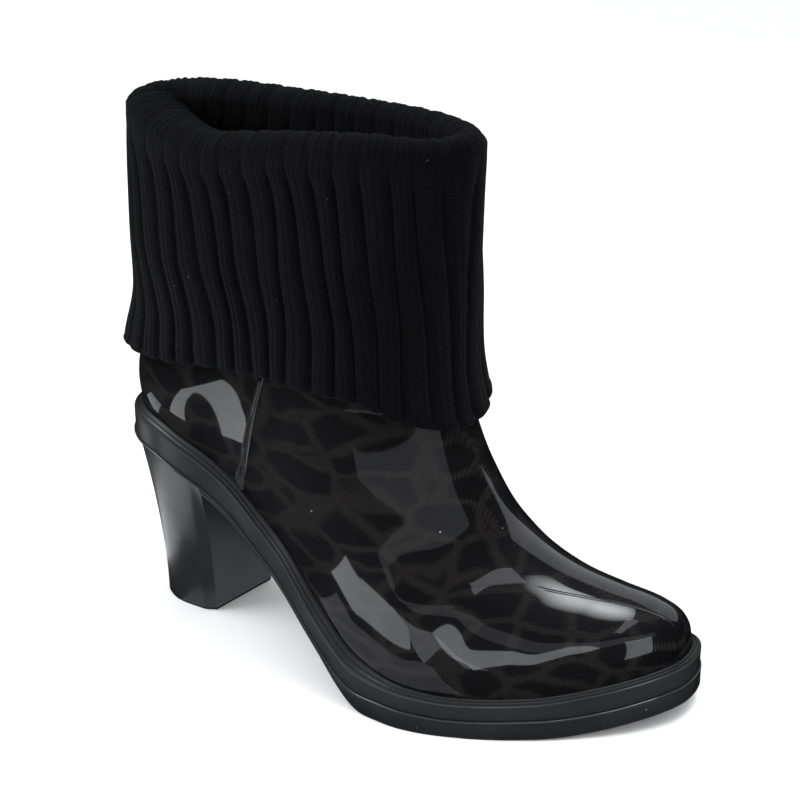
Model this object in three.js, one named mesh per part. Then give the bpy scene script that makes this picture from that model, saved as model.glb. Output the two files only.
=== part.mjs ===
// A right rain ankle boot with a block heel: a hollow moulded upper, a turned-down knitted cuff,
// a rimmed midsole, an outsole, a heel block and an insole.
// Millimetres. +X runs from heel to toe, +Y to the wearer's left (the inner side), +Z up.
import * as THREE from 'three';

// Foot and last
const footLength = 241;        // along the feather line, where upper and sole meet
const ballWidth = 88;          // full width of the upper over the ball
const heelWidth = 53;          // full width of the upper over the heel seat
const seatHeight = 84.4;       // feather line above the floor at the heel
const treadHeight = 14.6;      // feather line above the floor under the ball
const toeSpring = 8.6;         // extra rise of the feather line at the toe
const toeTurn = 17;            // how far the toe turns in from the heel's axis
const heelSide = -4;           // the heel's axis, to the outer side of the origin line
const instepRise = 100;        // from the toe's feather line to where the front turns upright
const toeRound = 48;           // radius of the vamp's crown
const throatSlope = 5;         // how steeply the ridge is taken to go on behind the throat
const heelRound = 41;          // radius of the back of the heel
const heelReach = 96;          // the heel's width has passed into the foot's by here
const crownPower = 2;          // 2 is a circle, and more is squarer
const backPower = 2.1;
const legBackRound = 60;       // radius of the back of the leg at its top
const legRound = 76;           // radius of the leg's front at its top
const legWidth = 76;           // full width of the leg above the ankle
const ankleTop = 159;          // the foot's sections have passed into the leg's by this height
const ankleHeight = 118;       // the upper's sides lean in up to here
const ankleWidth = 68;         // full width there, below the instep
const ankleBack = 48;          // and over the heel
const ankleReach = 115;        // the one has passed into the other by here
const heelBulge = 2.4;         // over the heel the side stands out this far halfway up
const footBulge = 0.6;
const mouthWidth = 49;         // full width between the two layers of the cuff at its fold

// Upper and cuff
const upperWall = 2.2;
const collarHeight = 159;      // the moulded shaft ends here, inside the cuff
const foldBack = 208;          // the cuff's fold above the floor at the back
const foldFront = 219;         // and at the front
const hemHeight = 120;         // the cuff's lower edge above the floor at the side
const hemDrop = 9;             // how much lower it hangs at the back
const innerReach = 22;         // how far the cuff's inner layer reaches down inside the shaft
const cuffOuter = 4.4;         // thickness of the outer layer over a rib
const cuffInner = 3.4;
const ribCount = 34;
const ribDepth = 1.7;
const foldRibDepth = 1;
const ribShift = 25;           // how far the ribs lean forward, from the top down, at the back of the cuff
const leanTop = 0.92;          // the share of the cuff's height where the lean starts
const leanFade = 0.6;          // how the lean fades round to the front
const cuffEase = 1.8;          // the knit hangs this far off the shaft
const hemFlare = 0.7;
const flareHeight = 31;        // the flare begins this far above the hem
const seamPlace = 65.5;        // the side seam leaves the sole this far from the back
const seamLean = 14.8;         // degrees that it leans forward
const seamHeight = 1.1;
const seamWidth = 2.8;

// Sole
const rimWidth = 4;            // the midsole stands out this far round the upper
const rimLip = 1.1;            // height of the lip round the upper
const lipRound = 0.5;          // bevel of that lip
const rimGap = 0.5;            // between the lip and the upper
const rimSlope = 5;            // fall of the rim from the feather line to the band, where the table says 1
const bandHeight = 14;         // the band's lower edge below the feather line, where the table says 1
const bandLip = 0.5;           // the small lip along the band's lower edge
const bandLipHeight = 0.9;
const edgeBevel = 0.5;
const outsoleWidth = 4.4;      // the outsole stands out this far
const outsoleThick = 6.8;
const waistThick = 1.3;        // the outsole under the arch
const toeLift = 6;             // the outsole's lower face above the floor at the toe
const insoleThick = 2;
const clearance = 0.3;

// Heel block
const breastPlace = 45;        // front face of the heel from the back of the feather line
const breastGap = 1.2;         // from there to the outsole
const heelTipLength = 34;
const heelTipWidth = 38.5;
const heelTipBack = 11.6;
const heelTipTurn = 4;         // its front edge runs this far forward from the outer to the inner side
const heelTipSide = -6.4;      // middle of the heel's foot
const heelTipRound = 21;       // radius of the back of the heel's foot
const heelTipPower = 2.2;
const heelCorner = 5;          // length of its cut front corners
const heelPinch = 2.3;         // and their depth
const heelSweep = 1.7;         // above 1, the block flares near the seat
const heelInset = 1.2;         // the block sits this far inside the midsole's edge

// The feather line's height: seat is a share of the drop from seat to tread, spring of the toe spring.
const featherTable = [
  { along: 0, seat: 1, spring: 0 },
  { along: 0.08, seat: 0.987, spring: 0 },
  { along: 0.16, seat: 0.917, spring: 0 },
  { along: 0.24, seat: 0.8, spring: 0 },
  { along: 0.32, seat: 0.625, spring: 0 },
  { along: 0.4, seat: 0.46, spring: 0 },
  { along: 0.48, seat: 0.255, spring: 0 },
  { along: 0.56, seat: 0.09, spring: 0 },
  { along: 0.64, seat: 0.024, spring: 0 },
  { along: 0.73, seat: 0, spring: 0 },
  { along: 0.83, seat: 0, spring: 0.1 },
  { along: 0.93, seat: 0, spring: 0.56 },
  { along: 1, seat: 0, spring: 1 },
];

// Half widths of the last as shares of the ball width, and its axis as a share of the toe's turn.
const widthTable = [
  { along: 0, outer: 0.305, inner: 0.305, axis: 0 },
  { along: 0.2, outer: 0.3, inner: 0.3, axis: -0.04 },
  { along: 0.34, outer: 0.345, inner: 0.33, axis: -0.1 },
  { along: 0.45, outer: 0.425, inner: 0.385, axis: -0.22 },
  { along: 0.55, outer: 0.49, inner: 0.445, axis: -0.3 },
  { along: 0.64, outer: 0.52, inner: 0.485, axis: -0.26 },
  { along: 0.74, outer: 0.485, inner: 0.485, axis: -0.06 },
  { along: 0.83, outer: 0.44, inner: 0.46, axis: 0.26 },
  { along: 0.92, outer: 0.375, inner: 0.44, axis: 0.66 },
  { along: 1, outer: 0.29, inner: 0.47, axis: 1 },
];

// The front line from the toe over the vamp to the instep.
const vampTable = [
  { along: 1, rise: 0 },
  { along: 0.998, rise: 0.08 },
  { along: 0.98, rise: 0.165 },
  { along: 0.94, rise: 0.221 },
  { along: 0.874, rise: 0.268 },
  { along: 0.802, rise: 0.328 },
  { along: 0.736, rise: 0.434 },
  { along: 0.681, rise: 0.63 },
  { along: 0.642, rise: 0.83 },
  { along: 0.617, rise: 1 },
];

// The leg above the instep: front and back lines as shares of the foot, half widths of the leg's width.
const legTable = [
  { rise: 0, front: 0.617, outer: 0.5, inner: 0.5, axis: 0.5 },
  { rise: 0.35, front: 0.61, outer: 0.47, inner: 0.46, axis: 0.35 },
  { rise: 0.7, front: 0.613, outer: 0.4, inner: 0.39, axis: 0.1 },
  { rise: 1, front: 0.615, outer: 0.32, inner: 0.32, axis: -0.2 },
];
const backTable = [
  { lean: 0, rise: 0 },
  { lean: -0.007, rise: 0.1 },
  { lean: -0.002, rise: 0.22 },
  { lean: 0.021, rise: 0.42 },
  { lean: 0.013, rise: 0.62 },
  { lean: 0, rise: 0.85 },
  { lean: -0.003, rise: 1 },
];

// The cuff's lower edge and fold from back to front: drop is a share of the hem's drop, and the climbs
// on the outer and inner side are shares of the fold's rise from back to front.
const cuffTable = [
  { turn: 0, drop: 0.9, outerClimb: 0, innerClimb: 0 },
  { turn: 0.1, drop: 0.68, outerClimb: -0.27, innerClimb: 0.1 },
  { turn: 0.3, drop: 0.08, outerClimb: -0.52, innerClimb: 0.1 },
  { turn: 0.45, drop: -0.28, outerClimb: -0.14, innerClimb: 0.16 },
  { turn: 0.62, drop: -0.53, outerClimb: 0.28, innerClimb: 0.26 },
  { turn: 0.82, drop: -0.58, outerClimb: 0.55, innerClimb: 0.46 },
  { turn: 0.93, drop: 0.25, outerClimb: 0.51, innerClimb: 0.55 },
  { turn: 1, drop: 1.05, outerClimb: 0.6, innerClimb: 0.56 },
];

// The side seam's section: across is a share of half its width, height of its height.
const seamProfile = [
  { across: -1, height: 0 },
  { across: -0.45, height: 1 },
  { across: 0.45, height: 1 },
  { across: 1, height: 0 },
];

// The midsole's side, below the feather line: its upper edge as a share of the rim's slope, and its
// lower edge as a share of the band's height.
const bandTable = [
  { along: 0, edge: 0.44, base: 0.93 },
  { along: 0.2, edge: 0.5, base: 0.98 },
  { along: 0.38, edge: 0.65, base: 1.02 },
  { along: 0.48, edge: 1, base: 1.02 },
  { along: 0.55, edge: 0.9, base: 0.97 },
  { along: 0.62, edge: 0.35, base: 0.7 },
  { along: 0.7, edge: 0.12, base: 0.59 },
  { along: 0.82, edge: 0.1, base: 0.58 },
  { along: 0.91, edge: 0.12, base: 0.68 },
  { along: 1, edge: 0.14, base: 0.7 },
];

// The outsole's thickness, from the waist's to the full one, and the lift of its lower face at the toe.
const outsoleTable = [
  { along: 0.18, thick: 0, lift: 0 },
  { along: 0.47, thick: 0, lift: 0 },
  { along: 0.52, thick: 0.35, lift: 0 },
  { along: 0.59, thick: 1, lift: 0 },
  { along: 0.9, thick: 1, lift: 0 },
  { along: 0.95, thick: 1, lift: 0.3 },
  { along: 1.02, thick: 1, lift: 1 },
];

const OUTER = -1;
const INNER = 1;
const clamp = (value) => Math.min(1, Math.max(0, value));
const mix = (from, to, share) => from + (to - from) * share;
const smooth = (share) => clamp(share) ** 2 * (3 - 2 * clamp(share));

// A monotone cubic through two columns of a table, straight beyond its ends.
function curveThrough(rows, across, up) {
  const x = rows.map((row) => row[across]);
  const y = rows.map((row) => row[up]);
  const last = x.length - 1;
  const slope = [];
  for (let i = 0; i < last; i += 1) slope.push((y[i + 1] - y[i]) / (x[i + 1] - x[i]));
  const tangent = x.map((_, i) => {
    if (i === 0) return slope[0];
    if (i === last) return slope[last - 1];
    if (slope[i - 1] * slope[i] <= 0) return 0;
    const before = x[i] - x[i - 1];
    const after = x[i + 1] - x[i];
    const near = 2 * after + before;
    const far = after + 2 * before;
    return (near + far) / (near / slope[i - 1] + far / slope[i]);
  });
  return (at) => {
    if (at <= x[0]) return y[0] + tangent[0] * (at - x[0]);
    if (at >= x[last]) return y[last] + tangent[last] * (at - x[last]);
    let i = 0;
    while (at > x[i + 1]) i += 1;
    const width = x[i + 1] - x[i];
    const t = (at - x[i]) / width;
    const rest = 1 - t;
    return (1 + 2 * t) * rest * rest * y[i] + t * rest * rest * width * tangent[i]
      + t * t * (3 - 2 * t) * y[i + 1] + t * t * (t - 1) * width * tangent[i + 1];
  };
}

// Piecewise linear reading of a list of points, by one coordinate.
function readAlong(points, key, value, at) {
  const rising = points[points.length - 1][key] > points[0][key];
  const list = rising ? points : [...points].reverse();
  if (at <= list[0][key]) return list[0][value];
  for (let i = 1; i < list.length; i += 1) {
    if (at <= list[i][key]) {
      const span = list[i][key] - list[i - 1][key];
      const share = span > 0 ? (at - list[i - 1][key]) / span : 0;
      return mix(list[i - 1][value], list[i][value], share);
    }
  }
  return list[list.length - 1][value];
}

const place = (along) => along * footLength;
const featherSeat = curveThrough(featherTable, 'along', 'seat');
const featherSpring = curveThrough(featherTable, 'along', 'spring');
function featherHeight(x) {
  const along = x / footLength;
  const drop = (seatHeight - treadHeight) * clamp(featherSeat(along));
  return treadHeight + drop + toeSpring * featherSpring(along);
}

// Side view: the front line and the back line of the upper and leg.
const toeHeight = featherHeight(footLength);
const instepHeight = toeHeight + instepRise;
const lineSteps = 160;
function sideLine(points) {
  const stops = points.map(([x, z]) => new THREE.Vector3(x, 0, z));
  const path = new THREE.CatmullRomCurve3(stops, false, 'chordal');
  return path.getSpacedPoints(lineSteps).map((point) => ({ x: point.x, z: point.z }));
}
const vampPoints = vampTable.map((row) => [place(row.along), toeHeight + row.rise * instepRise]);
const legPoints = legTable.slice(1).map((row) => [place(row.front), mix(instepHeight, foldFront, row.rise)]);
const vampLine = sideLine(vampPoints);
const frontLine = sideLine([...vampPoints, ...legPoints]);
const backLine = sideLine(backTable.map((row) => [place(row.lean), mix(seatHeight, foldBack, row.rise)]));
const frontAt = (z) => readAlong(frontLine, 'z', 'x', z);
const backAt = (z) => readAlong(backLine, 'z', 'x', z);
const throatPlace = place(vampTable[vampTable.length - 1].along);
function belowRidge(x, z) {
  const under = Math.max(readAlong(vampLine, 'x', 'z', x) - z, 0);
  return under + throatSlope * Math.max(throatPlace - x, 0);
}

// Plan view: the last's axis and half widths, which pass into the leg's above the ankle.
const axisShare = curveThrough(widthTable, 'along', 'axis');
const outerShare = curveThrough(widthTable, 'along', 'outer');
const innerShare = curveThrough(widthTable, 'along', 'inner');
const legAxis = curveThrough(legTable, 'rise', 'axis');
const legOuter = curveThrough(legTable, 'rise', 'outer');
const legInner = curveThrough(legTable, 'rise', 'inner');
const legRise = (z) => clamp((z - instepHeight) / (foldFront - instepHeight));
const legShare = (z) => smooth((z - seatHeight) / (ankleTop - seatHeight));
function axisPlace(x, z) {
  const foot = heelSide + axisShare(x / footLength) * toeTurn;
  const leg = heelSide * legAxis(legRise(z));
  return mix(foot, leg, legShare(z));
}
const heelShare = (x) => smooth(1 - x / heelReach);
const ankleShare = (x) => smooth(1 - x / ankleReach);
function soleHalf(x, side) {
  const ball = side === OUTER ? outerShare : innerShare;
  return mix(ball(x / footLength) * ballWidth, heelWidth / 2, heelShare(x));
}

// The form that the cuff hangs in: upright sides below the ankle.
function cuffHalf(x, z, side) {
  const foot = soleHalf(x, side);
  const leg = (side === OUTER ? legOuter : legInner)(legRise(z)) * legWidth;
  const top = smooth((z - ankleTop) / (foldBack - ankleTop));
  return mix(foot, mix(leg, mouthWidth / 2, top), legShare(z));
}

// The upper's own sides bulge over the sole and lean in to the ankle, and meet the cuff's form above it.
function upperHalf(x, z, side) {
  const lip = featherHeight(x) + rimLip;
  const rise = clamp((z - lip) / (ankleHeight - lip));
  const bulge = mix(footBulge, heelBulge, heelShare(x)) * 4 * rise * (1 - rise);
  const ankle = mix(ankleWidth, ankleBack, ankleShare(x)) / 2;
  const foot = mix(soleHalf(x, side), ankle, rise) + bulge;
  const shaftStart = collarHeight - innerReach;
  return mix(foot, cuffHalf(x, z, side), smooth((z - ankleHeight) / (shaftStart - ankleHeight)));
}

const quarterRound = (share, power) => (1 - (1 - clamp(share)) ** power) ** (1 / power);

// The distance from the front line, measured square to it, and so the roundness of the vamp.
function skinPoint(x, z, side, fullHalf) {
  const below = belowRidge(x, z);
  const behind = Math.max(frontAt(z) - x, 0);
  const depth = (below * behind) / Math.hypot(below, behind, 1e-6);
  const crown = mix(toeRound, legRound, legShare(z) * legRise(z));
  const ahead = Math.max(x - backAt(z), 0);
  const back = mix(heelRound, legBackRound, legShare(z));
  const front = quarterRound(depth / crown, crownPower);
  const half = fullHalf(x, z, side) * front * quarterRound(ahead / back, backPower);
  return new THREE.Vector3(x, axisPlace(x, z) + side * half, z);
}

// One section through the upper: turn 0 is the back and 1 the front, level 0 the feather line.
const collarFront = frontLine.findIndex((point) => point.z >= collarHeight) / lineSteps;
const collarBack = backLine.findIndex((point) => point.z >= collarHeight) / lineSteps;
function onLine(line, share) {
  const at = clamp(share) * lineSteps;
  const i = Math.min(Math.floor(at), lineSteps - 1);
  return { x: mix(line[i].x, line[i + 1].x, at - i), z: mix(line[i].z, line[i + 1].z, at - i) };
}
function upperPoint(level, turn, side) {
  const front = onLine(frontLine, level * collarFront);
  const back = onLine(backLine, level * collarBack);
  const x = mix(back.x, front.x, turn);
  const sag = featherHeight(place(turn)) - mix(seatHeight, toeHeight, turn);
  return skinPoint(x, mix(back.z, front.z, turn) + sag * (1 - level) ** 2, side, upperHalf);
}

// Stations from back to front along the feather line, closer together round the heel and the toe.
const stationCount = 38;
const denseStations = 400;
const endCrowding = 0.5;
const turnOf = (share) => (1 - Math.cos(Math.PI * share)) / 2;
function spacedTurns() {
  const turns = Array.from({ length: denseStations + 1 }, (_, i) => turnOf(i / denseStations));
  const points = turns.map((turn) => upperPoint(0, turn, OUTER));
  const lengths = [0];
  for (let i = 1; i < points.length; i += 1) {
    lengths.push(lengths[i - 1] + points[i].distanceTo(points[i - 1]));
  }
  return Array.from({ length: stationCount + 1 }, (_, step) => {
    const share = step / stationCount;
    const at = lengths[denseStations] * mix(share, turnOf(share), endCrowding);
    const next = Math.max(1, lengths.findIndex((length) => length >= at - 1e-9));
    return mix(turns[next - 1], turns[next], (at - lengths[next - 1]) / (lengths[next] - lengths[next - 1]));
  });
}
const stations = spacedTurns();

// A closed body from rings of equal length, lowest first. A sleeve's rings bend back on themselves.
function ringSides(rings, spans) {
  const count = rings[0].length;
  const index = [];
  for (let r = 0; r < spans; r += 1) {
    const low = r * count;
    const high = ((r + 1) % rings.length) * count;
    for (let i = 0; i < count; i += 1) {
      const next = (i + 1) % count;
      index.push(low + i, low + next, high + next, low + i, high + next, high + i);
    }
  }
  return index;
}
function bodyOf(rings, index) {
  const geometry = new THREE.BufferGeometry();
  const positions = rings.flat().flatMap((point) => [point.x, point.y, point.z]);
  geometry.setAttribute('position', new THREE.Float32BufferAttribute(positions, 3));
  geometry.setIndex(index);
  geometry.computeVertexNormals();
  return geometry;
}
const sleeve = (rings) => bodyOf(rings, ringSides(rings, rings.length));

// A stack's end rings are closed by ladders of cells between their outer and inner sides.
// A ring starts at its back, with a single point there unless its back is cut off square.
function stack(rings, squareBack) {
  const count = rings[0].length;
  const index = ringSides(rings, rings.length - 1);
  const top = (rings.length - 1) * count;
  const across = (i) => (count - i - (squareBack ? 1 : 0)) % count;
  const face = (a, b, c) => {
    if (a === b || b === c || a === c) return;
    index.push(a, c, b);
    index.push(top + a, top + b, top + c);
  };
  for (let i = 0; i < Math.floor(count / 2); i += 1) {
    face(i, i + 1, across(i + 1));
    face(i, across(i + 1), across(i));
  }
  return bodyOf(rings, index);
}

// Outward directions of a ring's points, in plan.
function planNormals(ring) {
  return ring.map((_, i) => {
    const next = ring[(i + 1) % ring.length];
    const before = ring[(i + ring.length - 1) % ring.length];
    return new THREE.Vector3(next.y - before.y, before.x - next.x, 0).normalize();
  });
}

// Outward directions of a grid of rings that run from the lowest up.
function gridNormals(rings) {
  return rings.map((ring, r) => {
    const above = rings[Math.min(r + 1, rings.length - 1)];
    const below = rings[Math.max(r - 1, 0)];
    return ring.map((_, i) => {
      const round = ring[(i + 1) % ring.length].clone().sub(ring[(i + ring.length - 1) % ring.length]);
      const rise = above[i].clone().sub(below[i]);
      return round.cross(rise).normalize();
    });
  });
}
const pushed = (point, normal, distance) => point.clone().addScaledVector(normal, distance);

// The upper
const upperLevels = [0, 0.02, 0.05, 0.09, 0.14, 0.2, 0.27, 0.34, 0.42, 0.51, 0.6, 0.7, 0.82, 1];
const seamFoot = seamPlace / footLength;
const seamSlope = Math.tan(THREE.MathUtils.degToRad(seamLean));
const seamTries = 8;
function seamTurn(level, side) {
  let turn = seamFoot;
  for (let step = 0; step < seamTries; step += 1) {
    const point = upperPoint(level, turn, side);
    const target = seamPlace + Math.max(point.z - featherHeight(seamPlace), 0) * seamSlope;
    turn += (target - point.x) / footLength;
  }
  return turn;
}
function upperRow(level, side) {
  const seam = seamTurn(level, side);
  const half = seamWidth / 2 / (upperPoint(level, 1, side).x - upperPoint(level, 0, side).x);
  const clear = seamWidth / footLength;
  const behind = stations.filter((turn) => turn < seamFoot - clear).map((turn) => turn * (seam / seamFoot));
  const ahead = stations.filter((turn) => turn > seamFoot + clear)
    .map((turn) => mix(seam, 1, (turn - seamFoot) / (1 - seamFoot)));
  return [
    ...behind.map((turn) => ({ turn, height: 0 })),
    ...seamProfile.map(({ across, height }) => ({ turn: seam + across * half, height })),
    ...ahead.map((turn) => ({ turn, height: 0 })),
  ].map(({ turn, height }) => ({ point: upperPoint(level, turn, side), height }));
}
function upperRing(level) {
  const outer = upperRow(level, OUTER);
  const inner = upperRow(level, INNER).slice(1, -1).reverse();
  return [...outer, ...inner];
}
function makeUpper() {
  const rows = upperLevels.map(upperRing);
  const rings = rows.map((row) => row.map(({ point }) => point));
  const normals = gridNormals(rings);
  normals[0] = planNormals(rings[0]);
  const outside = rings.map((ring, r) => ring.map((point, i) => (
    pushed(point, normals[r][i], rows[r][i].height * seamHeight * smooth(r / 3)))));
  const inside = rings.map((ring, r) => ring.map((point, i) => pushed(point, normals[r][i], -upperWall)));
  inside[0].forEach((point) => { point.z = featherHeight(point.x); });
  return sleeve([...outside, ...inside.reverse()]);
}

// The cuff: its two layers and its fold follow the leg's own surface.
const ribPoints = 3;
const denseTurns = 180;
const cuffDrop = curveThrough(cuffTable, 'turn', 'drop');
const outerClimb = curveThrough(cuffTable, 'turn', 'outerClimb');
const innerClimb = curveThrough(cuffTable, 'turn', 'innerClimb');
const hemAt = (turn) => hemHeight - hemDrop * cuffDrop(turn);
const foldAngles = [50, 90, 130];
const foldAt = (turn, side) => mix(foldBack, foldFront, (side === OUTER ? outerClimb : innerClimb)(turn));
function cuffRing(lowAt, rise) {
  const dense = [];
  for (const side of [OUTER, INNER]) {
    for (let i = 0; i < denseTurns; i += 1) {
      const share = side === OUTER ? i / denseTurns : 1 - i / denseTurns;
      const turn = turnOf(share);
      const z = mix(lowAt(turn), foldAt(turn, side), rise);
      dense.push(skinPoint(mix(backAt(z), frontAt(z), turn), z, side, cuffHalf));
    }
  }
  const lengths = [0];
  dense.forEach((point, i) => lengths.push(lengths[i] + point.distanceTo(dense[(i + 1) % dense.length])));
  const total = lengths[dense.length];
  const columns = ribCount * ribPoints;
  return Array.from({ length: columns }, (_, column) => {
    const share = column / columns;
    const backward = (0.5 + 0.5 * Math.cos(2 * Math.PI * share)) ** leanFade;
    const lean = (ribShift / total) * (1 - clamp(rise / leanTop) ** 2) * backward;
    const at = ((share + lean) % 1) * total;
    const from = lengths.findIndex((length) => length > at) - 1;
    const local = (at - lengths[from]) / (lengths[from + 1] - lengths[from]);
    return dense[from].clone().lerp(dense[(from + 1) % dense.length], local);
  });
}
function makeCuff() {
  const innerLow = () => collarHeight - innerReach;
  const slotOut = cuffEase;
  const slotIn = -upperWall - cuffEase;
  const layers = [
    { low: hemAt, rises: [0, 0.1, 0.23, 0.4, 0.6, 0.8, 0.97], out: slotOut + cuffOuter, ribs: true },
    { low: innerLow, rises: [0.97, 0.7, 0.3, 0], out: slotIn - cuffInner, ribs: false },
    { low: innerLow, rises: [0, 0.3, 0.7, 0.95], out: slotIn, ribs: false },
    { low: hemAt, rises: [0.95, 0.75, 0.55, 0.38, 0.23, 0.1, 0], out: slotOut, ribs: false },
  ];
  const levels = layers.map(({ low, rises, out, ribs }) => rises.map((rise) => {
    const ring = cuffRing(low, rise);
    const normals = planNormals(ring);
    return ring.map((point, i) => {
      const groove = ribs && i % ribPoints === 0 ? ribDepth : 0;
      const aboveHem = rise * (foldBack - hemHeight);
      const flare = low === hemAt ? hemFlare * (1 - smooth(aboveHem / flareHeight)) : 0;
      return pushed(point, normals[i], out - groove + flare);
    });
  }));
  const top = cuffRing(hemAt, 1);
  const topNormals = planNormals(top);
  const outside = slotOut + cuffOuter;
  const inside = slotIn - cuffInner;
  const middle = (outside + inside) / 2;
  const radius = (outside - inside) / 2;
  const fold = foldAngles.map((degrees) => {
    const angle = THREE.MathUtils.degToRad(degrees);
    return top.map((point, i) => {
      const reach = i % ribPoints === 0 ? radius - foldRibDepth : radius;
      const moved = pushed(point, topNormals[i], middle + reach * Math.cos(angle));
      moved.z += reach * Math.sin(angle);
      return moved;
    });
  });
  return sleeve([...levels[0], ...fold, ...levels[1], ...levels[2], ...levels[3]]);
}

// The sole's plan follows the upper's feather line, from one station to another, a given way out.
function soleRing(from, to, out, heightOf) {
  const least = 0.002;
  const turns = [from, ...stations.filter((turn) => turn > from + least && turn < to - least), to];
  const outer = turns.map((turn) => upperPoint(0, turn, OUTER));
  const inner = turns.map((turn) => upperPoint(0, turn, INNER));
  const back = inner.slice(from > 0 ? 0 : 1, to < 1 ? undefined : -1).reverse();
  const ring = [...outer, ...back];
  const normals = planNormals(ring);
  if (from > 0) {
    normals[0].set(0, OUTER, 0);
    normals[ring.length - 1].set(0, INNER, 0);
  }
  if (to < 1) {
    normals[turns.length - 1].set(0, OUTER, 0);
    normals[turns.length].set(0, INNER, 0);
  }
  return ring.map((point, i) => {
    const moved = pushed(point, normals[i], out);
    moved.z = heightOf(moved.x);
    return moved;
  });
}
const bandEdge = curveThrough(bandTable, 'along', 'edge');
const bandBase = curveThrough(bandTable, 'along', 'base');
const edgeHeight = (x) => featherHeight(x) - rimSlope * bandEdge(x / footLength);
const baseHeight = (x) => featherHeight(x) - bandHeight * bandBase(x / footLength);
function makeMidsole() {
  const seat = (x) => featherHeight(x) - clearance;
  return stack([
    soleRing(0, 1, rimWidth + bandLip, baseHeight),
    soleRing(0, 1, rimWidth + bandLip, (x) => baseHeight(x) + bandLipHeight),
    soleRing(0, 1, rimWidth, (x) => baseHeight(x) + bandLipHeight + bandLip),
    soleRing(0, 1, rimWidth, edgeHeight),
    soleRing(0, 1, rimWidth - edgeBevel, (x) => edgeHeight(x) + edgeBevel),
    soleRing(0, 1, rimGap + 2 * lipRound, (x) => featherHeight(x) + rimLip - lipRound),
    soleRing(0, 1, rimGap + lipRound, (x) => featherHeight(x) + rimLip),
    soleRing(0, 1, rimGap, seat),
  ]);
}
const outsoleShare = curveThrough(outsoleTable, 'along', 'thick');
const outsoleLift = curveThrough(outsoleTable, 'along', 'lift');
function makeOutsole() {
  const from = (breastPlace + breastGap) / footLength;
  const upper = (x) => baseHeight(x) - clearance;
  const lower = (x) => {
    const along = x / footLength;
    const thick = mix(waistThick, outsoleThick, clamp(outsoleShare(along)));
    return Math.max(upper(x) - thick, toeLift * Math.max(outsoleLift(along), 0));
  };
  const edge = (x) => Math.min(lower(x) + edgeBevel, mix(lower(x), upper(x), 0.5));
  return stack([
    soleRing(from, 1, outsoleWidth - edgeBevel, lower),
    soleRing(from, 1, outsoleWidth, edge),
    soleRing(from, 1, outsoleWidth, upper),
  ], true);
}
function makeInsole() {
  const inset = -upperWall - 2 * clearance;
  return stack([
    soleRing(0, 1, inset, featherHeight),
    soleRing(0, 1, inset - edgeBevel, (x) => featherHeight(x) + insoleThick),
  ]);
}

// The heel block: its plan passes from the seat's outline to its own foot on the floor.
const heelLevels = [0, 0.04, 0.2, 0.4, 0.6, 0.78, 0.9, 1];
function makeHeel() {
  const breast = breastPlace / footLength;
  const top = soleRing(0, breast, rimWidth - heelInset, (x) => baseHeight(x) - clearance);
  const steps = (top.length - 1) / 2;
  const foot = top.map((_, i) => {
    const side = i <= steps ? OUTER : INNER;
    const station = i <= steps ? i : top.length - i;
    const along = turnOf(station / steps / 2) * 2 * heelTipLength;
    const round = (heelTipWidth / 2) * quarterRound(along / heelTipRound, heelTipPower);
    const corner = heelPinch * smooth((along - heelTipLength + heelCorner) / heelCorner);
    const across = side * (round - corner);
    const skew = ((across / heelTipWidth) * along * heelTipTurn) / heelTipLength;
    return new THREE.Vector3(heelTipBack + along + skew, heelTipSide + across, 0);
  });
  return stack(heelLevels.map((level) => top.map((point, i) => {
    const x = mix(foot[i].x, point.x, level ** heelSweep);
    const y = mix(foot[i].y, point.y, level ** heelSweep);
    return new THREE.Vector3(x, y, point.z * level);
  })));
}

function named(name, geometry, color, roughness) {
  const material = new THREE.MeshStandardMaterial({ color, roughness, metalness: 0 });
  const mesh = new THREE.Mesh(geometry, material);
  mesh.name = name;
  return mesh;
}

const boot = new THREE.Group();
boot.add(named('upper', makeUpper(), 0x1d1a1c, 0.12));
boot.add(named('cuff', makeCuff(), 0x0b0b0c, 0.95));
boot.add(named('midsole', makeMidsole(), 0x1f2426, 0.35));
boot.add(named('outsole', makeOutsole(), 0x1f2426, 0.4));
boot.add(named('heel', makeHeel(), 0x1f2426, 0.35));
boot.add(named('insole', makeInsole(), 0x161616, 0.9));

// The origin is on the floor, under the middle of the whole boot.
const box = new THREE.Box3().setFromObject(boot, true);
const centre = box.getCenter(new THREE.Vector3());
boot.position.set(-centre.x, -centre.y, -box.min.z);

export default boot;
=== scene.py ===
"""A right rain ankle boot with a glossy moulded upper, a ribbed knit cuff and a block heel, dressed over
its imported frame. Shapes are worked out in millimetres on the last's own axes: x from the back of the
feather line to the toe, y to the inner side, z up from the floor. They are moved into the frame in metres.
"""
import math

import bpy
import numpy as np
from mathutils import Matrix, Vector


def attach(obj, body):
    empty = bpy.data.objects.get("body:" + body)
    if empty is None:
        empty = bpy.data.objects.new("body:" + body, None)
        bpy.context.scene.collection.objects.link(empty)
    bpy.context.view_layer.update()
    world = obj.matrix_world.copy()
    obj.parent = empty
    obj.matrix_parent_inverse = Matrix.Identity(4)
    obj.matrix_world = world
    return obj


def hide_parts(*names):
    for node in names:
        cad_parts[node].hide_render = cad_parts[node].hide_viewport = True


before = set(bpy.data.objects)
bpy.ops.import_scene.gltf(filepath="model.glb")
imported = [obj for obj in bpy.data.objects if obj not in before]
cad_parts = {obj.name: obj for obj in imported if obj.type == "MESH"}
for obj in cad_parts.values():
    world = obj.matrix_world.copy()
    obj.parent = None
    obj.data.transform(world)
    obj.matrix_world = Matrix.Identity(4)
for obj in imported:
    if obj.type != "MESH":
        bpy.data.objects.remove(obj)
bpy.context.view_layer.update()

MM = 0.001
LAST_ORIGIN = np.array([-119.13, 8.47, 0.0])   # the last's own origin in the frame
OUTER, INNER = -1, 1
SEED = 7

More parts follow.
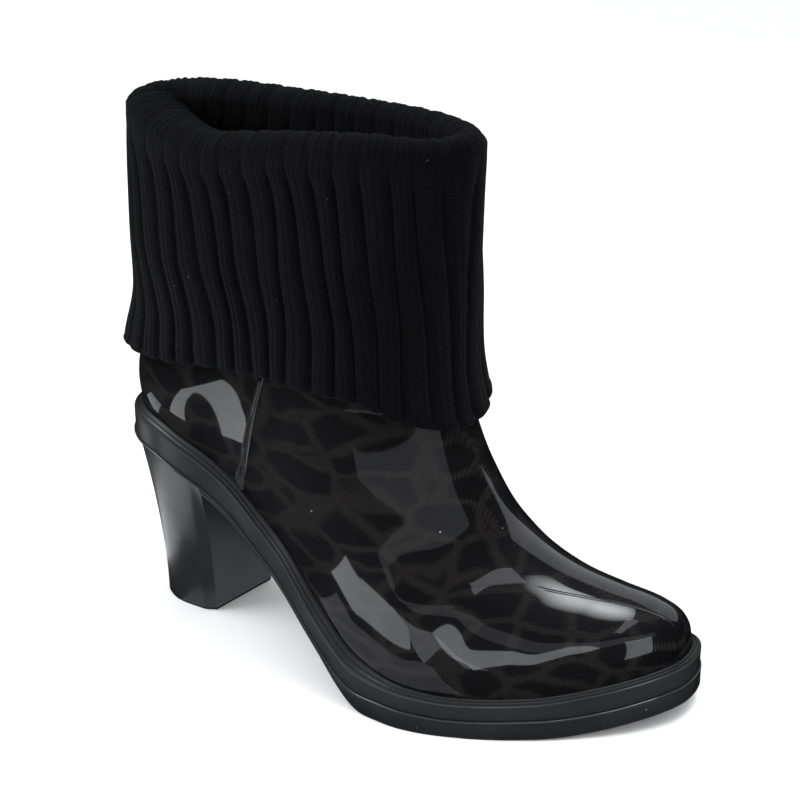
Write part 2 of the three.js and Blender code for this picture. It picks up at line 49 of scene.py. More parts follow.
# Camera, on the last's axes, with the photograph's angle and framing
VIEW_TURN = 33.55            # degrees round from the outer side towards the toe
VIEW_RISE = 25.563
VIEW_DISTANCE = 962.7
VIEW_TARGET = (119.23, -13.58, 100.8)
FOCAL_PIXELS = 2485.44
CENTRE_PIXEL = (380.26, 426.71)
PICTURE_SIDE = 800
SENSOR = 36.0

# Foot and last
FOOT_LENGTH = 241.0
BALL_WIDTH = 88.0
HEEL_WIDTH = 53.0
SEAT_HEIGHT = 84.4
TREAD_HEIGHT = 14.6
TOE_SPRING = 8.6
TOE_TURN = 17.0
HEEL_SIDE = -4.0
INSTEP_RISE = 100.0
TOE_ROUND = 48.0
THROAT_SLOPE = 5.0
HEEL_ROUND = 41.0
HEEL_REACH = 96.0
CROWN_POWER = 2.0
BACK_POWER = 2.1
LEG_BACK_ROUND = 60.0
LEG_ROUND = 76.0
LEG_WIDTH = 76.0
ANKLE_TOP = 159.0
ANKLE_HEIGHT = 118.0
ANKLE_WIDTH = 68.0
ANKLE_BACK = 48.0
ANKLE_REACH = 115.0
HEEL_BULGE = 2.4
FOOT_BULGE = 0.6
MOUTH_WIDTH = 49.0

# Upper and cuff
UPPER_WALL = 2.2
COLLAR_HEIGHT = 159.0
FOLD_BACK = 208.0
FOLD_FRONT = 219.0
HEM_HEIGHT = 120.0
HEM_DROP = 9.0
INNER_REACH = 22.0
CUFF_OUTER = 4.4
CUFF_INNER = 3.4
CUFF_EASE = 1.8
RIB_COUNT = 34
RIB_DEPTH = 2.1
RIB_SHIFT = 25.0             # how far the ribs lean forward, from the top down, at the back
LEAN_TOP = 0.92              # the share of the cuff's height where the lean starts
LEAN_FADE = 0.6              # how the lean fades round to the front
HEM_FLARE = 0.7
FLARE_HEIGHT = 31.0
ROLL_BACK = 12.0             # how much thicker the fold's roll is at the back
RIM_RIBS = 0.22              # what is left of the ribs' depth on the fold
SEAM_PLACE = 65.5
SEAM_LEAN = 14.8
SEAM_HEIGHT = 1.1
SEAM_WIDTH = 3.4
SEAM_SWELL = 1.5
SEAM_REACH = 1.2             # the close columns reach this many seam widths to each side
SWELL_REACH = 16.0           # how far the upper swells beside the seam
MOULD_START = 190.0          # the mould's line along the top of the toe
MOULD_SLOPE = 0.595
MOULD_PLACE = -129.8
MOULD_FADE = 14.0
MOULD_LINE = (0.15, 0.7)     # half widths of the line, to where it is sharp and to where it has faded
MOULD_HEIGHTS = (36.0, 42.0)

# Sole
RIM_WIDTH = 4.0
RIM_LIP = 1.1
RIM_GAP = 0.15
RIM_SLOPE = 5.0
BAND_HEIGHT = 14.0
BAND_LIP = 0.5
BAND_LIP_HEIGHT = 0.9
OUTSOLE_WIDTH = 4.4
OUTSOLE_THICK = 6.8
WAIST_THICK = 1.3
TOE_LIFT = 6.0
INSOLE_THICK = 2.0
CLEARANCE = 0.3
BREAST_PLACE = 45.0
BREAST_GAP = 1.2
HEEL_TIP_LENGTH = 34.0
HEEL_TIP_WIDTH = 38.5
HEEL_TIP_BACK = 11.6
HEEL_TIP_TURN = 4.0
HEEL_TIP_SIDE = -6.4
HEEL_TIP_ROUND = 21.0
HEEL_TIP_POWER = 2.2
HEEL_CORNER = 5.0
HEEL_PINCH = 2.3
HEEL_SWEEP = 1.7
HEEL_INSET = 1.2
HEEL_EDGE = 0.012            # the share of the heel's height that its rounded foot takes

# Tables: shares of the sizes above, as the frame's own construction has them
FEATHER = dict(
    along=[0, 0.08, 0.16, 0.24, 0.32, 0.4, 0.48, 0.56, 0.64, 0.73, 0.83, 0.93, 1],
    seat=[1, 0.987, 0.917, 0.8, 0.625, 0.46, 0.255, 0.09, 0.024, 0, 0, 0, 0],
    spring=[0, 0, 0, 0, 0, 0, 0, 0, 0, 0, 0.1, 0.56, 1],
)
WIDTH = dict(
    along=[0, 0.2, 0.34, 0.45, 0.55, 0.64, 0.74, 0.83, 0.92, 1],
    outer=[0.305, 0.3, 0.345, 0.425, 0.49, 0.52, 0.485, 0.44, 0.375, 0.29],
    inner=[0.305, 0.3, 0.33, 0.385, 0.445, 0.485, 0.485, 0.46, 0.44, 0.47],
    axis=[0, -0.04, -0.1, -0.22, -0.3, -0.26, -0.06, 0.26, 0.66, 1],
)
VAMP = dict(
    along=[1, 0.998, 0.98, 0.94, 0.874, 0.802, 0.736, 0.681, 0.642, 0.617],
    rise=[0, 0.08, 0.165, 0.221, 0.268, 0.328, 0.434, 0.63, 0.83, 1],
)
LEG = dict(
    rise=[0, 0.35, 0.7, 1],
    front=[0.617, 0.61, 0.613, 0.615],
    outer=[0.5, 0.47, 0.4, 0.32],
    inner=[0.5, 0.46, 0.39, 0.32],
    axis=[0.5, 0.35, 0.1, -0.2],
)
BACK = dict(
    lean=[0, -0.007, -0.002, 0.021, 0.013, 0, -0.003],
    rise=[0, 0.1, 0.22, 0.42, 0.62, 0.85, 1],
)
CUFF = dict(
    turn=[0, 0.1, 0.3, 0.45, 0.62, 0.82, 0.93, 1],
    drop=[0.9, 0.68, 0.08, -0.28, -0.53, -0.58, 0.25, 1.05],
    outer_climb=[0, -0.27, -0.52, -0.14, 0.28, 0.55, 0.51, 0.6],
    inner_climb=[0, 0.1, 0.1, 0.16, 0.26, 0.46, 0.55, 0.56],
)
BAND = dict(
    along=[0, 0.2, 0.38, 0.48, 0.55, 0.62, 0.7, 0.82, 0.91, 1],
    edge=[0.44, 0.5, 0.65, 1, 0.9, 0.35, 0.12, 0.1, 0.12, 0.14],
    base=[0.93, 0.98, 1.02, 1.02, 0.97, 0.7, 0.59, 0.58, 0.68, 0.7],
)
OUTSOLE = dict(
    along=[0.18, 0.47, 0.52, 0.59, 0.9, 0.95, 1.02],
    thick=[0, 0, 0.35, 1, 1, 1, 1],
    lift=[0, 0, 0, 0, 0, 0.3, 1],
)


# Small helpers

def mix(start, end, share):
    return start + (end - start) * share


def smooth(share):
    share = np.clip(share, 0, 1)
    return share * share * (3 - 2 * share)


def curve_through(xs, ys):
    """A monotone cubic through the points, straight beyond its ends."""
    x, y = np.array(xs, float), np.array(ys, float)
    slope = np.diff(y) / np.diff(x)
    tangent = np.zeros_like(x)
    tangent[0], tangent[-1] = slope[0], slope[-1]
    before, after = np.diff(x)[:-1], np.diff(x)[1:]
    near, far = 2 * after + before, after + 2 * before
    for i in range(1, len(x) - 1):
        if slope[i - 1] * slope[i] > 0:
            tangent[i] = (near[i - 1] + far[i - 1]) / (near[i - 1] / slope[i - 1] + far[i - 1] / slope[i])

    def read(at):
        at = np.asarray(at, float)
        i = np.clip(np.searchsorted(x, at) - 1, 0, len(x) - 2)
        width = x[i + 1] - x[i]
        t = (at - x[i]) / width
        rest = 1 - t
        inside = (
            (1 + 2 * t) * rest ** 2 * y[i] + t * rest ** 2 * width * tangent[i]
            + t ** 2 * (3 - 2 * t) * y[i + 1] + t ** 2 * (t - 1) * width * tangent[i + 1]
        )
        low = y[0] + tangent[0] * (at - x[0])
        high = y[-1] + tangent[-1] * (at - x[-1])
        return np.where(at <= x[0], low, np.where(at >= x[-1], high, inside))

    return read


def side_line(xs, zs, steps=640):
    """A smooth line through points, with its pieces weighed by their lengths, and points even along it."""
    p = np.stack([xs, zs], 1).astype(float)
    p = np.vstack([2 * p[0] - p[1], p, 2 * p[-1] - p[-2]])
    fine = []
    for i in range(1, len(p) - 2):
        p0, p1, p2, p3 = p[i - 1:i + 3]
        d0, d1, d2 = (np.linalg.norm(b - a) for a, b in ((p0, p1), (p1, p2), (p2, p3)))
        t1 = ((p1 - p0) / d0 - (p2 - p0) / (d0 + d1) + (p2 - p1) / d1) * d1
        t2 = ((p2 - p1) / d1 - (p3 - p1) / (d1 + d2) + (p3 - p2) / d2) * d1
        t = np.linspace(0, 1, 81)[:-1, None]
        square = -3 * p1 + 3 * p2 - 2 * t1 - t2
        cube = 2 * p1 - 2 * p2 + t1 + t2
        fine.append(p1 + t1 * t + square * t ** 2 + cube * t ** 3)
    fine = np.vstack(fine + [p[-2:-1]])
    length = np.concatenate([[0], np.cumsum(np.linalg.norm(np.diff(fine, axis=0), axis=1))])
    even = np.linspace(0, length[-1], steps + 1)
    return np.stack([np.interp(even, length, fine[:, k]) for k in (0, 1)], 1)


# The last's surface

feather_seat = curve_through(FEATHER["along"], FEATHER["seat"])
feather_spring = curve_through(FEATHER["along"], FEATHER["spring"])


def feather_height(x):
    along = np.asarray(x) / FOOT_LENGTH
    drop = (SEAT_HEIGHT - TREAD_HEIGHT) * np.clip(feather_seat(along), 0, 1)
    return TREAD_HEIGHT + drop + TOE_SPRING * feather_spring(along)


TOE_HEIGHT = float(feather_height(FOOT_LENGTH))
INSTEP_HEIGHT = TOE_HEIGHT + INSTEP_RISE
vamp_x = np.array(VAMP["along"]) * FOOT_LENGTH
vamp_z = TOE_HEIGHT + np.array(VAMP["rise"]) * INSTEP_RISE
leg_x = np.array(LEG["front"][1:]) * FOOT_LENGTH
leg_z = mix(INSTEP_HEIGHT, FOLD_FRONT, np.array(LEG["rise"][1:]))
vamp_line = side_line(vamp_x, vamp_z)
front_line = side_line(np.append(vamp_x, leg_x), np.append(vamp_z, leg_z))
rear_x = np.array(BACK["lean"]) * FOOT_LENGTH
rear_z = mix(SEAT_HEIGHT, FOLD_BACK, np.array(BACK["rise"]))
back_line = side_line(rear_x, rear_z)
THROAT = vamp_x[-1]


def front_at(z):
    return np.interp(z, front_line[:, 1], front_line[:, 0])


def back_at(z):
    return np.interp(z, back_line[:, 1], back_line[:, 0])


def below_ridge(x, z):
    """The depth under the vamp's ridge, which goes on growing behind the throat."""
    line = vamp_line[::-1]
    under = np.maximum(np.interp(x, line[:, 0], line[:, 1]) - z, 0)
    return under + THROAT_SLOPE * np.maximum(THROAT - x, 0)


axis_share = curve_through(WIDTH["along"], WIDTH["axis"])
outer_share = curve_through(WIDTH["along"], WIDTH["outer"])
inner_share = curve_through(WIDTH["along"], WIDTH["inner"])
leg_axis = curve_through(LEG["rise"], LEG["axis"])
leg_outer = curve_through(LEG["rise"], LEG["outer"])
leg_inner = curve_through(LEG["rise"], LEG["inner"])


def leg_rise(z):
    return np.clip((z - INSTEP_HEIGHT) / (FOLD_FRONT - INSTEP_HEIGHT), 0, 1)


def leg_share(z):
    return smooth((z - SEAT_HEIGHT) / (ANKLE_TOP - SEAT_HEIGHT))


def axis_place(x, z):
    foot = HEEL_SIDE + axis_share(x / FOOT_LENGTH) * TOE_TURN
    return mix(foot, HEEL_SIDE * leg_axis(leg_rise(z)), leg_share(z))


def quarter_round(share, power):
    return (1 - (1 - np.clip(share, 0, 1)) ** power) ** (1 / power)


def sole_half(x, side):
    ball = np.where(side == OUTER, outer_share(x / FOOT_LENGTH), inner_share(x / FOOT_LENGTH)) * BALL_WIDTH
    return mix(ball, HEEL_WIDTH / 2, smooth(1 - x / HEEL_REACH))


def cuff_half(x, z, side):
    """The form that the cuff hangs in: upright sides below the ankle."""
    rise = leg_rise(z)
    leg = np.where(side == OUTER, leg_outer(rise), leg_inner(rise)) * LEG_WIDTH
    top = smooth((z - ANKLE_TOP) / (FOLD_BACK - ANKLE_TOP))
    return mix(sole_half(x, side), mix(leg, MOUTH_WIDTH / 2, top), leg_share(z))


def upper_half(x, z, side):
    """The upper's own sides bulge over the sole and lean in to the ankle."""
    lip = feather_height(x) + RIM_LIP
    rise = np.clip((z - lip) / (ANKLE_HEIGHT - lip), 0, 1)
    bulge = mix(FOOT_BULGE, HEEL_BULGE, smooth(1 - x / HEEL_REACH)) * 4 * rise * (1 - rise)
    ankle = mix(ANKLE_WIDTH, ANKLE_BACK, smooth(1 - x / ANKLE_REACH)) / 2
    foot = mix(sole_half(x, side), ankle, rise) + bulge
    share = smooth((z - ANKLE_HEIGHT) / (COLLAR_HEIGHT - INNER_REACH - ANKLE_HEIGHT))
    return mix(foot, cuff_half(x, z, side), share)


def skin_point(x, z, side, full_half):
    rise, share = leg_rise(z), leg_share(z)
    behind = np.maximum(front_at(z) - x, 0)
    below = below_ridge(x, z)
    depth = below * behind / (np.sqrt(below ** 2 + behind ** 2) + 1e-6)
    crown = mix(TOE_ROUND, LEG_ROUND, share * rise)
    ahead = np.maximum(x - back_at(z), 0)
    back = mix(HEEL_ROUND, LEG_BACK_ROUND, share)
    crowned = full_half(x, z, side) * quarter_round(depth / crown, CROWN_POWER)
    half = crowned * quarter_round(ahead / back, BACK_POWER)
    return np.stack([x, axis_place(x, z) + side * half, z], -1)


def on_line(line, share):
    even = np.linspace(0, 1, len(line))
    return np.interp(share, even, line[:, 0]), np.interp(share, even, line[:, 1])


COLLAR_FRONT = float(np.interp(COLLAR_HEIGHT, front_line[:, 1], np.linspace(0, 1, len(front_line))))
COLLAR_BACK = float(np.interp(COLLAR_HEIGHT, back_line[:, 1], np.linspace(0, 1, len(back_line))))


def upper_point(level, turn, side):
    """A point of the upper's skin: level 0 is the feather line, turn 0 the back and 1 the front."""
    level, turn = np.broadcast_arrays(np.asarray(level, float), np.asarray(turn, float))
    front_x, front_z = on_line(front_line, level * COLLAR_FRONT)
    back_x, back_z = on_line(back_line, level * COLLAR_BACK)
    sag = feather_height(turn * FOOT_LENGTH) - mix(SEAT_HEIGHT, TOE_HEIGHT, turn)
    x = mix(back_x, front_x, turn)
    z = mix(back_z, front_z, turn) + sag * (1 - level) ** 2
    return skin_point(x, z, side, upper_half)


# Rings, grids and meshes

def plan_normals(ring):
    ahead, behind = np.roll(ring, -1, 0), np.roll(ring, 1, 0)
    normal = np.stack([ahead[:, 1] - behind[:, 1], behind[:, 0] - ahead[:, 0], 0 * ring[:, 0]], 1)
    return normal / np.linalg.norm(normal, axis=1)[:, None]


def grid_normals(rings):
    around = np.roll(rings, -1, 1) - np.roll(rings, 1, 1)
    rise = np.gradient(rings, axis=0)
    normal = np.cross(around, rise)
    return normal / (np.linalg.norm(normal, axis=2)[..., None] + 1e-12)


def side_faces(spans, rows, count):
    """Quads between rings; the last span wraps to the first ring when spans equals rows."""
    r, i = np.meshgrid(np.arange(spans), np.arange(count), indexing="ij")
    low, high, following = r * count, ((r + 1) % rows) * count, (i + 1) % count
    return np.stack([low + i, low + following, high + following, high + i], -1).reshape(-1, 4).tolist()


def cap_faces(count, offset, up, square_back):
    """A ladder of cells between the outer and inner sides of an end ring."""
    faces = []
    for i in range(count // 2):
        j, k = (count - i - 1 - square_back) % count, (count - i - square_back) % count
        cell = [offset + v for n, v in enumerate((i, i + 1, j, k)) if v not in (i, i + 1, j, k)[:n]]
        if len(cell) > 2:
            faces.append(cell if up else cell[::-1])
    return faces


def make_mesh(name, points, faces, sharp):
    mesh = bpy.data.meshes.new(name)
    mesh.from_pydata(((points.reshape(-1, 3) + LAST_ORIGIN) * MM).tolist(), [], faces)
    mesh.update()
    mesh.shade_smooth()
    if sharp:
        mesh.set_sharp_from_angle(angle=math.radians(sharp))
    piece = bpy.data.objects.new(name, mesh)
    bpy.context.scene.collection.objects.link(piece)
    return piece


def put_attribute(piece, name, values):
    """Keeps a vector of each vertex for the materials."""
    layer = piece.data.attributes.new(name, "FLOAT_VECTOR", "POINT")
    layer.data.foreach_set("vector", np.asarray(values, np.float32).reshape(-1))


def dress(piece, node, slot, *materials):
    """Gives a piece its materials, hangs it under the root and hides its node's part in the frame."""
    for material in materials:
        piece.data.materials.append(material)
    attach(piece, "root")
    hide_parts(node)


# Material helpers

class Nodes:
    """A short way to write a node tree."""

    def __init__(self, name):
        self.material = bpy.data.materials.new(name)
        self.material.use_nodes = True
        self.tree = self.material.node_tree
        self.shader = self.tree.nodes["Principled BSDF"]

    def add(self, kind, **settings):
        node = self.tree.nodes.new(kind)
        for key, value in settings.items():
            setattr(node, key, value)
        return node

    def set(self, socket, value):
        if isinstance(value, bpy.types.NodeSocket):
            self.tree.links.new(value, socket)
        else:
            socket.default_value = value

    def attribute(self, name):
        return self.add("ShaderNodeAttribute", attribute_name=name).outputs["Vector"]

    def place(self):
        return self.add("ShaderNodeTexCoord").outputs["Object"]

    def math(self, operation, *values, clamp=False):
        node = self.add("ShaderNodeMath", operation=operation, use_clamp=clamp)
        for socket, value in zip(node.inputs, values):
            self.set(socket, value)
        return node.outputs[0]

    def vector(self, operation, first, second):
        node = self.add("ShaderNodeVectorMath", operation=operation)
        self.set(node.inputs[0], first)
        self.set(node.inputs[1], second)
        return node.outputs[0]

    def split(self, vector):
        node = self.add("ShaderNodeSeparateXYZ")
        self.set(node.inputs[0], vector)
        return node.outputs

    def noise(self, vector, scale, detail=3.0, roughness=0.5):
        node = self.add("ShaderNodeTexNoise")
        self.set(node.inputs["Vector"], vector)
        self.set(node.inputs["Scale"], scale)
        self.set(node.inputs["Detail"], detail)
        self.set(node.inputs["Roughness"], roughness)
        return node.outputs

    def voronoi(self, vector, scale, feature="F1", randomness=1.0):
        node = self.add("ShaderNodeTexVoronoi", feature=feature)
        self.set(node.inputs["Vector"], vector)
        self.set(node.inputs["Scale"], scale)
        self.set(node.inputs["Randomness"], randomness)
        return node.outputs

    def ramp(self, value, low, high, start=0.0, end=1.0):
        node = self.add("ShaderNodeMapRange", interpolation_type="SMOOTHSTEP")
        for socket, number in zip(node.inputs, (value, low, high, start, end)):
            self.set(socket, number)
        return node.outputs[0]

    def blend(self, share, first, second):
        node = self.add("ShaderNodeMix", data_type="RGBA")
        self.set(node.inputs["Factor"], share)
        self.set(node.inputs["A"], first if isinstance(first, bpy.types.NodeSocket) else (*first, 1))
        self.set(node.inputs["B"], second if isinstance(second, bpy.types.NodeSocket) else (*second, 1))
        return node.outputs["Result"]

    def bump(self, height, distance, strength):
        node = self.add("ShaderNodeBump")
        self.set(node.inputs["Height"], height)
        self.set(node.inputs["Distance"], distance)
        self.set(node.inputs["Strength"], strength)
        return node.outputs[0]

    def finish(self, **sockets):
        for key, value in sockets.items():
            self.set(self.shader.inputs[key.replace("_", " ")], value)
        return self.material


# Colours, and the sizes of the print in millimetres

CELL_COLOUR = (0.0030, 0.0029, 0.0034)
PALE_CELL_COLOUR = (0.0047, 0.0045, 0.0051)
NET_COLOUR = (0.0074, 0.0066, 0.0068)
HATCH_COLOUR = (0.0150, 0.0130, 0.0125)
MOULD_LINE_SHADE_COLOUR = (0.0012, 0.0012, 0.0014)
RUBBER_COLOUR = (0.0118, 0.0141, 0.0152)
PALE_RUBBER_COLOUR = (0.0170, 0.0205, 0.0213)
GROOVE_SHADE_COLOUR = (0.0016, 0.0019, 0.0023)
EDGE_HIGHLIGHT_COLOUR = (0.0420, 0.0480, 0.0510)
KNIT_GAP_SHADE_COLOUR = (0.0005, 0.0005, 0.0006)
KNIT_CROWN_HIGHLIGHT_COLOUR = (0.0038, 0.0040, 0.0050)
KNIT_CLOUD_COLOUR = (0.0018, 0.0019, 0.0024)
LINING_COLOUR = (0.006, 0.006, 0.006)
PALE_LINING_COLOUR = (0.011, 0.011, 0.011)
DUST_COLOUR = (0.5, 0.52, 0.55)
LINT_COLOUR = (0.16, 0.165, 0.17)
FLOOR_COLOUR = (0.9, 0.9, 0.9)
CELL_SIZE = (25, 20, 12)
CELL_SPREAD = 0.92           # how far the cells stray from an even grid
PRINT_WOBBLE = 9
HATCH_PITCH = 1.15
CROSS_PITCH = 1.7
RUBBER_ROUGHNESS = 0.36
WEAVE_TURNS = 5200           # radians of the lining's weave in a metre


def dust(nodes, place, pitch, size, share=0.25):
    """Sparse small specks: 1 on a speck and 0 elsewhere. Only a share of the cells holds one."""
    cell = nodes.voronoi(place, 1000 / pitch)
    near = nodes.math("LESS_THAN", cell["Distance"], size / pitch)
    rare = nodes.math("LESS_THAN", nodes.split(cell["Color"])[0], share)
    return nodes.math("MULTIPLY", near, rare)


def pvc_material():
    """Clear glossy PVC over a dark net of long cells with a fine slanted hatch."""
    n = Nodes("clear_pvc_over_print")
    place = n.attribute("print")
    wobble = n.vector("SUBTRACT", n.noise(place, 0.045, 2.0)["Color"], (0.5,) * 3)
    moved = n.vector("ADD", place, n.vector("MULTIPLY", wobble, (PRINT_WOBBLE,) * 3))
    cells = n.vector("MULTIPLY", moved, tuple(1 / size for size in CELL_SIZE))
    edge = n.voronoi(cells, 1.0, "DISTANCE_TO_EDGE", CELL_SPREAD)["Distance"]
    x, y, z = n.split(place)
    slant = n.math("ADD", n.math("MULTIPLY", x, 0.8), z)
    line = n.math("SINE", n.math("MULTIPLY", slant, 2 * math.pi / HATCH_PITCH))
    cross = n.math("SINE", n.math("MULTIPLY", n.math("SUBTRACT", x, z), 2 * math.pi / CROSS_PITCH))
    hatch = n.ramp(n.math("MULTIPLY", line, cross), -0.6, 0.9)
    width = n.noise(place, 0.06, 1.0)["Fac"]
    dotted = n.math("ADD", n.math("MULTIPLY", width, 0.07), n.math("MULTIPLY", hatch, 0.06))
    net = n.ramp(n.math("SUBTRACT", edge, dotted), -0.02, 0.075, 1.0, 0.0)
    cell_tone = n.voronoi(cells, 1.0, "F1", CELL_SPREAD)["Color"]
    tone = n.ramp(n.split(cell_tone)[0], 0.0, 1.0, 0.0, 0.45)
    cell_colour = n.blend(tone, CELL_COLOUR, PALE_CELL_COLOUR)
    net_colour = n.blend(n.math("MULTIPLY", hatch, 0.75), NET_COLOUR, HATCH_COLOUR)
    colour = n.blend(net, cell_colour, net_colour)
    colour = n.blend(dust(n, n.place(), 13.0, 0.27), colour, DUST_COLOUR)
    mould_y = n.math("ADD", n.math("MULTIPLY", x, MOULD_SLOPE), MOULD_PLACE)
    aside = n.math("ABSOLUTE", n.math("SUBTRACT", y, mould_y))
    ahead = n.ramp(x, MOULD_START, MOULD_START + MOULD_FADE, 0.0, 1.0)
    mould = n.math("MULTIPLY", n.ramp(aside, *MOULD_LINE, 1.0, 0.0), ahead)
    mould = n.math("MULTIPLY", mould, n.ramp(z, *MOULD_HEIGHTS, 0.0, 1.0))
    # Painted shade: the mould line's groove is coloured near black along its length.
    colour = n.blend(mould, colour, MOULD_LINE_SHADE_COLOUR)
    groove = n.bump(n.math("SUBTRACT", 1.0, mould), 0.0003, 1.0)
    return n.finish(
        Base_Color=colour, Roughness=0.5, Specular_IOR_Level=0.1, Normal=groove,
        Coat_Weight=1.0, Coat_Roughness=0.035, Coat_IOR=1.53, Coat_Normal=groove,
    )


def rubber_material():
    """Satin grey rubber. An attribute of the band paints shade into its grooves and next to the upper, and
    paints highlights on its lip, edges, ridges and face.
    """
    n = Nodes("sole_rubber")
    place = n.place()
    cloud = n.noise(place, 38.0, 4.0)["Fac"]
    grain = n.noise(place, 900.0, 2.0)["Fac"]
    colour = n.blend(n.ramp(cloud, 0.35, 0.7, 0.0, 0.5), RUBBER_COLOUR, PALE_RUBBER_COLOUR)
    tone = n.split(n.attribute("tone"))[0]
    # Painted shade: where the band's tone is above 0 the colour darkens, in its grooves and along the
    # upper.
    colour = n.blend(n.math("MULTIPLY", tone, 1.0, clamp=True), colour, GROOVE_SHADE_COLOUR)
    # Painted highlight: where the tone is below 0 the colour lightens, on the band's lip, edges, ridges and
    # face.
    colour = n.blend(n.math("MULTIPLY", tone, -1.0, clamp=True), colour, EDGE_HIGHLIGHT_COLOUR)
    colour = n.blend(dust(n, place, 9.0, 0.2), colour, DUST_COLOUR)
    rough = n.ramp(cloud, 0.3, 0.75, RUBBER_ROUGHNESS - 0.05, RUBBER_ROUGHNESS + 0.08)
    return n.finish(
        Base_Color=colour, Roughness=n.math("ADD", rough, n.math("MULTIPLY", tone, 0.3)),
        Specular_IOR_Level=0.5, Normal=n.bump(grain, 0.00006, 0.4),
    )


def knit_material():
    """Fine fuzzy stitches: columns of small Vs, from the stitch counts round and down the cuff."""
    n = Nodes("black_knit")
    around, down, _ = n.split(n.attribute("stitch"))
    across = n.math("ABSOLUTE", n.math("SUBTRACT", n.math("FRACT", around), 0.5))
    leg = n.math("FRACT", n.math("SUBTRACT", down, n.math("MULTIPLY", across, 1.1)))
    strand = n.math("SINE", n.math("MULTIPLY", leg, math.pi))
    loop = n.math("MULTIPLY", strand, n.math("SINE", n.math("MULTIPLY", n.math("FRACT", around), math.pi)))
    fuzz = n.noise(n.place(), 1500.0, 3.0, 0.7)["Fac"]
    cloud = n.noise(n.place(), 60.0, 3.0)["Fac"]
    height = n.math("ADD", n.math("MULTIPLY", loop, 0.45), fuzz)
    # Painted shade in the gaps between the strands and a painted highlight on their crowns and fuzz,
    # following the same relief as the bump.
    shade = n.math("ADD", n.math("MULTIPLY", loop, 0.35), n.ramp(fuzz, 0.3, 0.75, 0.0, 0.65))
    colour = n.blend(shade, KNIT_GAP_SHADE_COLOUR, KNIT_CROWN_HIGHLIGHT_COLOUR)
    colour = n.blend(n.ramp(cloud, 0.4, 0.8, 0.0, 0.4), colour, KNIT_CLOUD_COLOUR)
    colour = n.blend(dust(n, n.place(), 7.0, 0.2), colour, LINT_COLOUR)
    return n.finish(
        Base_Color=colour, Roughness=0.92, Specular_IOR_Level=0.1, Sheen_Weight=0.03, Sheen_Roughness=0.45,
        Sheen_Tint=(0.6, 0.62, 0.68, 1), Normal=n.bump(height, 0.0006, 0.9),
    )


def lining_material():
    n = Nodes("textile_lining")
    x, y, _ = n.split(n.place())
    warp, weft = (n.math("SINE", n.math("MULTIPLY", axis, WEAVE_TURNS)) for axis in (x, y))
    weave = n.math("MULTIPLY", warp, weft)
    cloud = n.noise(n.place(), 45.0, 3.0)["Fac"]
    colour = n.blend(n.ramp(cloud, 0.3, 0.7, 0.0, 1.0), LINING_COLOUR, PALE_LINING_COLOUR)
    return n.finish(
        Base_Color=colour, Roughness=0.9, Specular_IOR_Level=0.15, Normal=n.bump(weave, 0.0002, 0.5),
    )


# The upper: a hollow shell with a raised seam on each side

UPPER_SHARP = 50.0           # degrees between two faces, past which their edge stays sharp
SEAM_STEPS = 12
FOOT_ROWS, LEG_ROWS, INNER_ROWS = 13, 118, 24
FOOT_SHARE = 0.08            # the share of the height, from the sole up, that has closer rows


def seam_turn(level, side):
    """The turn of the seam at each level, found step by step, because it leans with the height."""
    turn = np.full_like(level, SEAM_PLACE / FOOT_LENGTH)
    slope = math.tan(math.radians(SEAM_LEAN))
    for _ in range(SEAM_STEPS):
        point = upper_point(level, turn, side)
        target = SEAM_PLACE + np.maximum(point[:, 2] - feather_height(SEAM_PLACE), 0) * slope
        turn = turn + (target - point[:, 0]) / FOOT_LENGTH
    return turn


def upper_columns(level, side, behind=46, across=14, ahead=104):
    """Turns of one side at one level, closer together round the heel, on the seam and round the toe."""
    seam = seam_turn(level, side)[:, None]
    half = SEAM_WIDTH * SEAM_REACH / FOOT_LENGTH
    start = np.linspace(0, 1, behind)[None, :]
    back = (seam - half) * mix(start, 1 - np.cos(start * math.pi / 2), 0.6)
    middle = seam + np.linspace(-half, half, across + 2)[None, 1:-1]
    end = np.linspace(0, 1, ahead)[None, :]
    front = mix(seam + half, 1.0, mix(end, np.sin(end * math.pi / 2), 0.75))
    return np.concatenate([back, middle, front], 1), seam


def seam_relief(offset):
    """The seam's section: two thin ridges with a groove between them, on a low band and a soft swell."""
    share = np.abs(offset) / (SEAM_WIDTH / 2)
    band = 0.35 * (1 - smooth((share - 0.75) / 0.3))
    ridge = 0.65 * np.exp(-((share - 0.55) / 0.17) ** 2)
    swell = SEAM_SWELL * np.exp(-np.abs(offset) / SWELL_REACH)
    return SEAM_HEIGHT * (band + ridge) + swell


def upper_rows(levels):
    """Rings of the skin, up from the sole, and how far each point stands out at the seams."""
    sides = []
    for side in (OUTER, INNER):
        turns, seam = upper_columns(levels, side)
        points = upper_point(np.broadcast_to(levels[:, None], turns.shape), turns, side)
        relief = seam_relief((turns - seam) * FOOT_LENGTH)
        sides.append((points, relief))
    (outer, outer_relief), (inner, inner_relief) = sides
    rings = np.concatenate([outer, inner[:, -2:0:-1]], 1)
    relief = np.concatenate([outer_relief, inner_relief[:, -2:0:-1]], 1)
    return rings, relief


